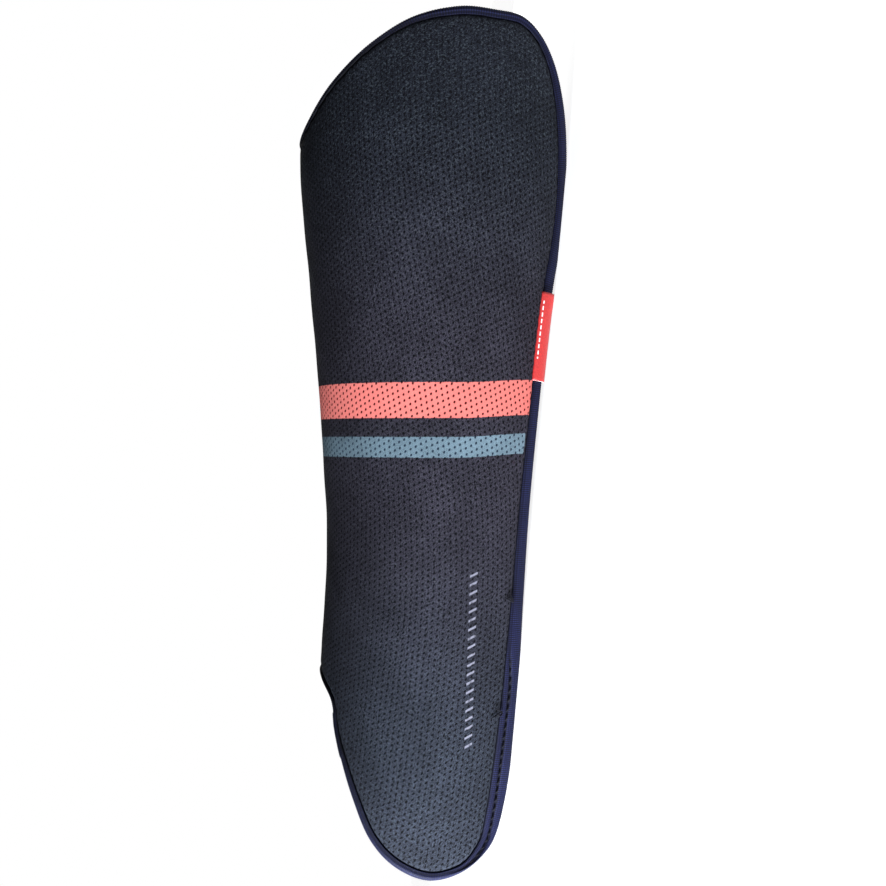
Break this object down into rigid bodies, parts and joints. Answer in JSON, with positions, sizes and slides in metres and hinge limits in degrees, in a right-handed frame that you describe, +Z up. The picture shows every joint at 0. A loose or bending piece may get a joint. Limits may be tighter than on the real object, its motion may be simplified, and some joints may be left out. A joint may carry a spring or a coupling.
{
  "type": "hockey shin guard",
  "caption": "Soft C-shaped shin guard of mesh-covered foam with a bound rim, knee wings, ankle lobes and a front arch.",
  "frame": {"origin": "on the floor under the middle of the part's box", "axes": "+Z up through the front ridge, +X along the shin towards the knee end, +Y across"},
  "size_m": [0.3052, 0.1078, 0.1013],
  "materials": {
    "knit_mesh": "perforated knit mesh, dark navy grey, with printed coral and blue bands",
    "foam": "dark lined foam, matte",
    "ribbed_tape": "ribbed navy binding tape",
    "label": "smooth red woven label"
  },
  "bodies": {
    "root": {"outer_cover": "knit_mesh", "foam_pad": "foam", "edge_binding": "ribbed_tape", "side_label": "label"}
  },
  "joints": []
}
